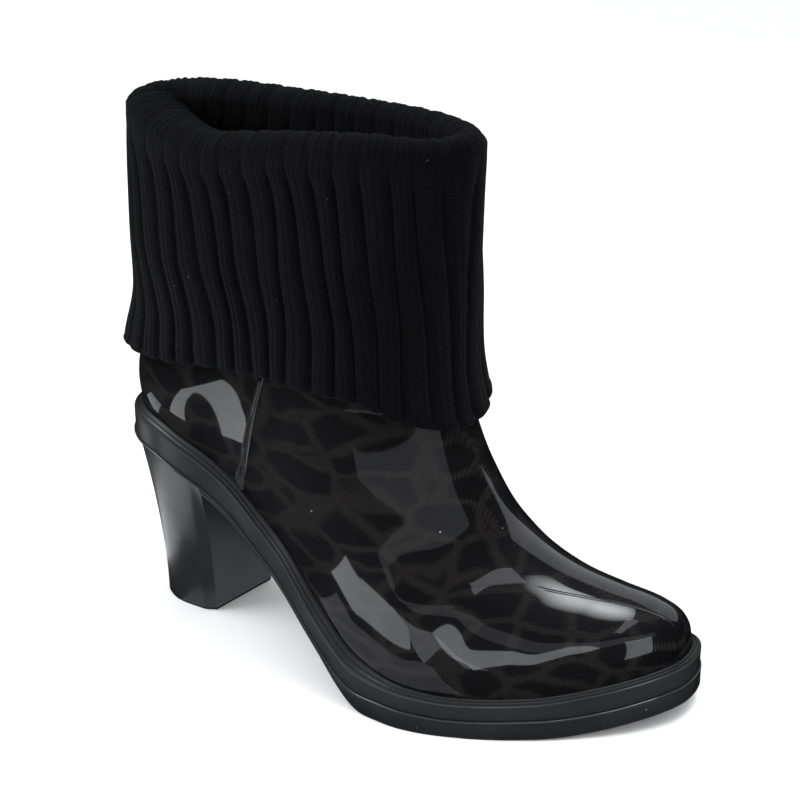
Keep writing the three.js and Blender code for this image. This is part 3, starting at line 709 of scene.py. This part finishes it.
def make_upper(materials):
    foot_levels = np.linspace(0, FOOT_SHARE, FOOT_ROWS + 1)[:-1]
    levels = np.concatenate([foot_levels, np.linspace(FOOT_SHARE, 1, LEG_ROWS)])
    rings, relief = upper_rows(levels)
    normals = grid_normals(rings)
    normals[0] = plan_normals(rings[0])
    fade = smooth(levels / 0.03)[:, None] * smooth((1 - levels) / 0.06)[:, None]
    outside = rings + normals * (relief * fade)[..., None]
    inner_levels = np.linspace(levels[-1], 0, INNER_ROWS)
    picks = np.searchsorted(levels, inner_levels[::-1])[::-1]
    inside = rings[picks] - normals[picks] * UPPER_WALL
    inside[-1, :, 2] = feather_height(inside[-1, :, 0])
    rim = rings[-1:] - normals[-1:] * UPPER_WALL / 2
    rim[..., 2] += UPPER_WALL * 0.3
    points = np.concatenate([outside, rim, inside])
    count = points.shape[1]
    piece = make_mesh("upper_shell", points, side_faces(len(points), len(points), count), sharp=UPPER_SHARP)
    put_attribute(piece, "print", points)
    dress(piece, "upper", "upper_pvc", *materials)
    first_inner = len(outside) * count
    index = np.zeros(len(piece.data.polygons), np.int32)
    index[first_inner:] = 1
    piece.data.polygons.foreach_set("material_index", index)
    return piece


# The cuff: a folded tube of ribbed knit

PER_RIB = 16                 # columns of points to a rib
WALES = 4                    # stitches across a rib
COURSE = 1.5                 # the height of a stitch
OUTER_ROWS, ROLL_ROWS, UNDER_ROWS = 116, 22, 18
LOW_RISE, HIGH_RISE = 0.028, 0.97
HEM_ROLL = (-70, -40, -10)   # degrees round the hem's edge
FOLD_ROLL = (14, 165)
cuff_drop = curve_through(CUFF["turn"], CUFF["drop"])
outer_climb = curve_through(CUFF["turn"], CUFF["outer_climb"])
inner_climb = curve_through(CUFF["turn"], CUFF["inner_climb"])


def hem_at(turn):
    return HEM_HEIGHT - HEM_DROP * cuff_drop(turn)


def inner_low(turn):
    return np.full_like(turn, COLLAR_HEIGHT - INNER_REACH)


def cuff_ring(low_at, rise, columns):
    """A ring of the knit's skin, from its low edge up to the fold, with columns even along its length."""
    dense = 500
    share = np.arange(dense) / dense
    turn = (1 - np.cos(math.pi * share)) / 2
    back_turn = (1 + np.cos(math.pi * share)) / 2
    rows = []
    for turns, side, climb in ((turn, OUTER, outer_climb), (back_turn, INNER, inner_climb)):
        fold = mix(FOLD_BACK, FOLD_FRONT, climb(turns))
        z = mix(low_at(turns), fold, rise)
        rows.append(skin_point(mix(back_at(z), front_at(z), turns), z, side, cuff_half))
    ring = np.vstack(rows)
    closed = np.vstack([ring, ring[:1]])
    length = np.concatenate([[0], np.cumsum(np.linalg.norm(np.diff(closed, axis=0), axis=1))])
    total = length[-1]
    share = np.arange(columns) / columns
    backward = (0.5 + 0.5 * np.cos(2 * math.pi * share)) ** LEAN_FADE
    stray = 0.8 * np.sin(14 * math.pi * share + 2.5 * rise)
    stray = stray + 0.6 * np.sin(26 * math.pi * share - 3 * rise + 2)
    lean = RIB_SHIFT * (1 - min(rise / LEAN_TOP, 1) ** 2) * backward
    at = (share * total + lean + stray) % total
    return np.stack([np.interp(at, length, closed[:, k]) for k in range(3)], 1)


def rib_relief(columns, depth):
    """How far each column lies below the ribs' crowns: round ribs of four wales with deep grooves."""
    share = (np.arange(columns) % PER_RIB) / PER_RIB
    groove = np.exp(-(np.minimum(share, 1 - share) / 0.13) ** 2)
    crown = 0.18 * (2 * np.abs(share - 0.5)) ** 2
    wale = 0.05 * (0.5 - 0.5 * np.cos(2 * math.pi * share * WALES))
    return -depth * (0.75 * groove + crown + 0.1 - wale)


def make_cuff(material):
    """Rows from the hem up the outer layer, over the fold, down the inner layer and back to the hem."""
    columns = RIB_COUNT * PER_RIB
    random = np.random.default_rng(SEED)
    slot_out, slot_in = CUFF_EASE, -UPPER_WALL - CUFF_EASE
    outside, inside = slot_out + CUFF_OUTER, slot_in - CUFF_INNER
    angles = np.linspace(0, 2 * math.pi, columns, endpoint=False)
    wander = sum(random.normal(0, 0.2) * np.cos(k * angles + random.uniform(0, 6)) for k in range(2, 9))
    rib_end = np.repeat(random.uniform(0.2, 1.0, RIB_COUNT), PER_RIB)
    tooth = np.repeat(random.uniform(0.1, 0.4, RIB_COUNT * WALES), PER_RIB // WALES)
    relief = rib_relief(columns, RIB_DEPTH)
    lumps = wander - rib_end * (1 + relief / RIB_DEPTH)
    tooth = tooth * np.cos(np.arange(columns) * 2 * math.pi * WALES / PER_RIB)
    roll = ROLL_BACK * (0.5 + 0.5 * np.cos(angles)) ** 2.5
    rows, stitches = [], []
    around = np.arange(columns) / PER_RIB * WALES
    travelled = 0.0

    def add(ring, normals, out, relief, lift=0.0):
        nonlocal travelled
        row = ring + normals * (out + relief)[:, None]
        row[:, 2] += lift
        if rows:
            travelled += float(np.linalg.norm(row - rows[-1], axis=1).mean())
        rows.append(row)
        stitches.append(np.stack([around, np.full(columns, travelled / COURSE), 0 * around], 1))

    half = CUFF_OUTER / 2
    for degrees in HEM_ROLL:
        angle = math.radians(degrees)
        ring = cuff_ring(hem_at, 0, columns)
        out = (slot_out + outside) / 2 + half * math.cos(angle) + HEM_FLARE
        add(ring, plan_normals(ring), out, relief * 0.6, half * (1 + math.sin(angle)) + lumps)
    for rise in np.linspace(LOW_RISE, HIGH_RISE, OUTER_ROWS):
        ring = cuff_ring(hem_at, rise, columns)
        flare = HEM_FLARE * (1 - smooth(rise * (FOLD_BACK - HEM_HEIGHT) / FLARE_HEIGHT))
        ripple = wander * 0.35 * math.sin(math.pi * rise) ** 0.5
        depth = 1 - (1 - RIM_RIBS) * smooth((rise - 0.82) / 0.15)
        lift = (1 - smooth(rise / 0.08)) * lumps
        add(ring, plan_normals(ring), outside + flare + ripple, relief * depth, lift)
    top = cuff_ring(hem_at, 1, columns)
    top_normals = plan_normals(top)
    height = (outside - inside) / 2
    for degrees in np.linspace(*FOLD_ROLL, ROLL_ROWS):
        angle = math.radians(degrees)
        edge = relief * RIM_RIBS + tooth
        reach = (outside - inside + roll) / 2 + edge
        out = (outside + inside - roll) / 2 + reach * math.cos(angle)
        add(top, top_normals, out, 0 * relief, (height + edge) * math.sin(angle))
    for rise in np.linspace(HIGH_RISE, 0, UNDER_ROWS):
        ring = cuff_ring(inner_low, rise, columns)
        add(ring, plan_normals(ring), inside - roll * smooth((rise - 0.45) / 0.5), -relief * 0.35)
    for rise in (0.0, 0.35, 0.7, 0.95):
        ring = cuff_ring(inner_low, rise, columns)
        add(ring, plan_normals(ring), slot_in, 0 * relief)
    for rise in (0.95, 0.75, 0.5, 0.25, 0.08, 0.02):
        ring = cuff_ring(hem_at, rise, columns)
        add(ring, plan_normals(ring), slot_out + HEM_FLARE * (1 - smooth(rise * 2.8)), 0 * relief)
    points = np.stack(rows)
    piece = make_mesh("cuff_knit", points, side_faces(len(points), len(points), columns), sharp=None)
    put_attribute(piece, "stitch", np.stack(stitches))
    dress(piece, "cuff", "cuff_knit", material)
    return piece


# The sole

SOLE_SHARP = 38.0


def sole_turns(start, end, count):
    share = (1 - np.cos(np.linspace(0, math.pi, count))) / 2
    even = np.linspace(0, 1, count)
    return mix(start, end, mix(even, share, 0.8))


def sole_ring(start, end, out, height_of, count=170):
    """The feather line between two turns, moved out in plan and put at its heights, square at a cut end."""
    turns = sole_turns(start, end, count)
    outer = upper_point(0.0, turns, OUTER)
    inner = upper_point(0.0, turns, INNER)
    inner = inner[0 if start > 0 else 1:len(inner) if end < 1 else -1][::-1]
    ring = np.vstack([outer, inner])
    normals = plan_normals(ring)
    if start > 0:
        normals[0], normals[-1] = (0, OUTER, 0), (0, INNER, 0)
    if end < 1:
        normals[count - 1], normals[count] = (0, OUTER, 0), (0, INNER, 0)
    ring = ring + normals * out
    ring[:, 2] = height_of(ring[:, 0])
    return ring


band_edge = curve_through(BAND["along"], BAND["edge"])
band_base = curve_through(BAND["along"], BAND["base"])
outsole_share = curve_through(OUTSOLE["along"], OUTSOLE["thick"])
outsole_lift = curve_through(OUTSOLE["along"], OUTSOLE["lift"])


def edge_height(x):
    return feather_height(x) - RIM_SLOPE * band_edge(x / FOOT_LENGTH)


def base_height(x):
    return feather_height(x) - BAND_HEIGHT * band_base(x / FOOT_LENGTH)


def stack(name, rings, square_back=False):
    """A closed mesh from rings that lie one above the other."""
    points = np.stack(rings)
    rows, count = points.shape[:2]
    faces = side_faces(rows - 1, rows, count)
    faces += cap_faces(count, 0, False, square_back)
    faces += cap_faces(count, (rows - 1) * count, True, square_back)
    return make_mesh(name, points, faces, sharp=SOLE_SHARP)


# Two ridges on the rim: the share of the way in to the upper, the lift and the tone of each ring; a tone of
# 1 is painted shade in a groove and a tone below 0 a painted highlight
RIM_RIDGES = [
    (0.06, 0.25, 0.6), (0.22, 0.1, 1), (0.3, 0.12, 1), (0.36, 0.55, -0.3), (0.42, 0.55, 0), (0.48, 0.1, 1),
    (0.62, 0.05, 0.85), (0.68, 0.1, 1), (0.74, 0.55, 0.2), (0.82, 0.6, 0.4), (0.9, 0.15, 1),
]


def make_midsole(material):
    """The band round the whole sole: a lip, a groove, the upright face, and a rim with two ridges."""
    lip = RIM_WIDTH + BAND_LIP
    band_top = RIM_WIDTH

    def between(share, lift):
        return lambda x: mix(edge_height(x), feather_height(x) + RIM_LIP * 0.4, share) + lift

    # Each ring's reach, height and tone: 1 is painted shade in a groove and -1 a painted highlight on an
    # edge
    section = [
        (lip - 0.3, base_height, 0.3),
        (lip, lambda x: base_height(x) + 0.25, -0.3),
        (lip, lambda x: base_height(x) + BAND_LIP_HEIGHT - 0.2, -0.8),
        (lip - 0.15, lambda x: base_height(x) + BAND_LIP_HEIGHT, -0.6),
        (band_top - 0.05, lambda x: base_height(x) + BAND_LIP_HEIGHT + 0.15, 1),
        (band_top - 0.1, lambda x: base_height(x) + BAND_LIP_HEIGHT + 0.6, 0.9),
        (band_top - 0.1, lambda x: base_height(x) + BAND_LIP_HEIGHT + 0.9, -0.05),
        (band_top - 0.1, lambda x: mix(base_height(x), edge_height(x), 0.5), -0.12),
        (band_top, lambda x: edge_height(x) - 0.5, -0.1),
        (band_top - 0.02, lambda x: edge_height(x) - 0.15, -0.7),
        (band_top - 0.2, lambda x: edge_height(x) + 0.12, -0.7),
    ]
    for share, lift, tone in RIM_RIDGES:
        section.append((mix(band_top, RIM_GAP + 0.3, share), between(share, lift), tone))
    section += [
        # The rings in the gap by the upper carry painted shade: a dark line where the rim meets the upper.
        (RIM_GAP + 0.25, lambda x: feather_height(x) + RIM_LIP * 0.75, 1),
        (RIM_GAP, lambda x: feather_height(x) + RIM_LIP * 0.5, 1),
        (RIM_GAP, lambda x: feather_height(x) - CLEARANCE, 1),
    ]
    rings = [sole_ring(0, 1, reach, height) for reach, height, _ in section]
    piece = stack("midsole_band", rings)
    # The tone of each ring paints shade into the grooves and highlights onto the lip, edges, ridges and
    # face.
    shade_and_highlight_tones = np.zeros((len(rings), len(rings[0]), 3))
    shade_and_highlight_tones[..., 0] = np.array([tone for _, _, tone in section])[:, None]
    put_attribute(piece, "tone", shade_and_highlight_tones)
    dress(piece, "midsole", "sole_rubber", material)
    return piece


def make_outsole(material):
    """The forefoot's lower layer, from the heel's breast on, thin under the waist and lifted at the toe."""
    start = (BREAST_PLACE + BREAST_GAP) / FOOT_LENGTH

    def upper(x):
        return base_height(x) - CLEARANCE * 0.4

    def lower(x):
        along = x / FOOT_LENGTH
        thick = mix(WAIST_THICK, OUTSOLE_THICK, np.clip(outsole_share(along), 0, 1))
        return np.maximum(base_height(x) - CLEARANCE - thick, TOE_LIFT * np.maximum(outsole_lift(along), 0))

    def up(share, most):
        return lambda x: lower(x) + np.minimum(most, (upper(x) - lower(x)) * share)

    rings = [
        sole_ring(start, 1, OUTSOLE_WIDTH - 5, lower),
        sole_ring(start, 1, OUTSOLE_WIDTH - 0.6, lower),
        sole_ring(start, 1, OUTSOLE_WIDTH - 0.15, up(0.2, 0.15)),
        sole_ring(start, 1, OUTSOLE_WIDTH, up(0.5, 0.5)),
        sole_ring(start, 1, OUTSOLE_WIDTH, lambda x: mix(lower(x), upper(x), 0.85)),
        sole_ring(start, 1, OUTSOLE_WIDTH - 0.25, upper),
    ]
    piece = stack("outsole_tread", rings, square_back=True)
    dress(piece, "outsole", "sole_rubber", material)
    return piece


def make_insole(material):
    inset = -UPPER_WALL - 2 * CLEARANCE
    rings = [
        sole_ring(0, 1, inset, feather_height),
        sole_ring(0, 1, inset, lambda x: feather_height(x) + INSOLE_THICK - 0.6),
        sole_ring(0, 1, inset - 0.2, lambda x: feather_height(x) + INSOLE_THICK - 0.2),
        sole_ring(0, 1, inset - 0.7, lambda x: feather_height(x) + INSOLE_THICK),
    ]
    piece = stack("insole_board", rings)
    dress(piece, "insole", "insole_fabric", material)
    return piece


def make_heel(material):
    """The block narrows and turns from the band's outline to its own small foot."""
    breast = BREAST_PLACE / FOOT_LENGTH
    count = 60
    top = sole_ring(0, breast, RIM_WIDTH - HEEL_INSET, lambda x: base_height(x) - CLEARANCE * 0.4, count)
    station = np.concatenate([np.arange(count), np.arange(count - 1, 0, -1)])
    side = np.concatenate([np.full(count, OUTER), np.full(count - 1, INNER)])
    share = sole_turns(0, 1, count)[station]
    along = share * HEEL_TIP_LENGTH
    half = HEEL_TIP_WIDTH / 2 * quarter_round(along / HEEL_TIP_ROUND, HEEL_TIP_POWER)
    half = half - HEEL_PINCH * smooth((along - HEEL_TIP_LENGTH + HEEL_CORNER) / HEEL_CORNER)
    across = side * half
    skew = across / HEEL_TIP_WIDTH * along * HEEL_TIP_TURN / HEEL_TIP_LENGTH
    foot = np.stack([HEEL_TIP_BACK + along + skew, HEEL_TIP_SIDE + across, 0 * along], 1)
    rings = []
    for level in np.concatenate([[0.0, HEEL_EDGE / 3, HEEL_EDGE], np.linspace(0.03, 1, 40)]):
        ring = mix(foot, top, level ** HEEL_SWEEP)
        ring[:, 2] = top[:, 2] * level
        inset = 0.5 * (1 - smooth(level / HEEL_EDGE))
        rings.append(ring - plan_normals(ring) * inset)
    piece = stack("heel_block", rings)
    dress(piece, "heel", "sole_rubber", material)
    return piece


# Stage, light and camera

FLOOR_HALF = 12.0            # metres


def make_stage():
    """A pale floor under an even sky. Both light the boot, and the cards alone are mirrored in it."""
    mesh = bpy.data.meshes.new("floor")
    corners = [(x * FLOOR_HALF, y * FLOOR_HALF, 0) for x, y in ((-1, -1), (1, -1), (1, 1), (-1, 1))]
    mesh.from_pydata(corners, [], [(0, 1, 2, 3)])
    floor = bpy.data.objects.new("floor", mesh)
    bpy.context.scene.collection.objects.link(floor)
    n = Nodes("pale_floor")
    material = n.finish(Base_Color=(*FLOOR_COLOUR, 1), Roughness=0.9, Specular_IOR_Level=0.0)
    floor.data.materials.append(material)
    floor.visible_glossy = False
    world = bpy.data.worlds.new("studio")
    bpy.context.scene.world = world
    world.use_nodes = True
    world.node_tree.nodes["Background"].inputs["Color"].default_value = (1, 1, 1, 1)
    world.node_tree.nodes["Background"].inputs["Strength"].default_value = 1.0
    world.cycles_visibility.glossy = False


CARD_COLOUR = (0.93, 0.95, 1.0)

# Light cards: middle in the frame's millimetres, the direction that they stand in as seen from the boot
# (degrees round from the outer side towards the toe, and up), turn in their own plane, size, radiance.
# A card with no direction lies on the floor and faces up. A last number narrows the spread, for soft edges.
CARDS = {
    "patch_card": ((-276, -187, 1), None, 53, (214, 44), 2.2),
    "band_rear_card": ((-43, -135, 1), None, -14, (122, 46), 2.2),
    "band_mid_card": ((163, -335, 1), None, -52, (481, 88), 1.2),
    "near_floor_card": ((0, -88, 1), None, -12, (150, 40), 0.5),
    "heel_side_card": ((-156, -24, 1), None, 0, (62, 62), 2.2),
    "heel_rear_card": ((-262, -26, 1), None, 60, (60, 60), 1.0),
    "arch_card": ((-52, 8, 1), None, 0, (80, 70), 0.6),
    "front_card": ((187, -181, 62), (35.5, 9.5), 38, (146, 26), 2.4),
    "toe_card": ((300, -68, 51), (70, 10), 0, (80, 120), 2.0),
    "crescent_card": ((404, -104, 439), (100, 50), 20, (312, 62), 1.45),
    "broad_card": ((225, -650, 215), (60, 15), 1, (1460, 88), 0.42),
    "back_card": ((120, 560, 330), (180, 30), 0, (800, 420), 0.85),
    "top_card": ((285, 50, 700), (120, 80), 0, (460, 310), 0.75, 46),
    "key_card": ((-640, -370, 620), (-60, 40), 0, (620, 620), 5.5),
}


def towards(turn, rise):
    """The direction round from the outer side towards the toe, and up."""
    return math.sin(turn) * math.cos(rise), -math.cos(turn) * math.cos(rise), math.sin(rise)


def add_card(name, middle, facing, turn, size, radiance, spread=180):
    if facing:
        round_about, rise = (math.radians(v) for v in facing)
        out = Vector(towards(round_about, rise))
        right = Vector((math.cos(round_about), math.sin(round_about), 0))
        up = out.cross(right)
        up = -up if up.z < 0 else up
    else:
        out, right, up = Vector((0, 0, -1)), Vector((1, 0, 0)), Vector((0, 1, 0))
    turn = math.radians(turn)
    along = right * math.cos(turn) + up * math.sin(turn)
    light = bpy.data.lights.new(name, "AREA")
    light.shape = "RECTANGLE"
    light.size, light.size_y = size[0] * MM, size[1] * MM
    light.energy = radiance * math.pi * light.size * light.size_y
    light.color = CARD_COLOUR
    light.spread = math.radians(spread)
    lamp = bpy.data.objects.new(name, light)
    bpy.context.scene.collection.objects.link(lamp)
    lamp.matrix_world = Matrix((along, out.cross(along), out)).transposed().to_4x4()
    lamp.location = Vector(middle) * MM
    lamp.visible_camera = False


def make_camera():
    turn, rise = math.radians(VIEW_TURN), math.radians(VIEW_RISE)
    back = np.array(towards(turn, rise))
    target = (np.array(VIEW_TARGET) + LAST_ORIGIN) * MM
    data = bpy.data.cameras.new("camera")
    data.sensor_width = SENSOR
    data.lens = SENSOR * FOCAL_PIXELS / PICTURE_SIDE
    data.shift_x = 0.5 - CENTRE_PIXEL[0] / PICTURE_SIDE
    data.shift_y = CENTRE_PIXEL[1] / PICTURE_SIDE - 0.5
    data.clip_end = 20
    camera = bpy.data.objects.new("camera", data)
    bpy.context.scene.collection.objects.link(camera)
    place = target + back * VIEW_DISTANCE * MM
    camera.location = place
    camera.rotation_euler = (Vector(target) - Vector(place)).to_track_quat("-Z", "Y").to_euler()
    bpy.context.scene.camera = camera


def main():
    make_camera()
    make_stage()
    for name, card in CARDS.items():
        add_card(name, *card)
    rubber = rubber_material()
    lining = lining_material()
    make_upper((pvc_material(), lining))
    make_cuff(knit_material())
    make_midsole(rubber)
    make_outsole(rubber)
    make_heel(rubber)
    make_insole(lining)
    settings = bpy.context.scene.view_settings
    settings.view_transform = "Standard"
    settings.look = "None"


main()
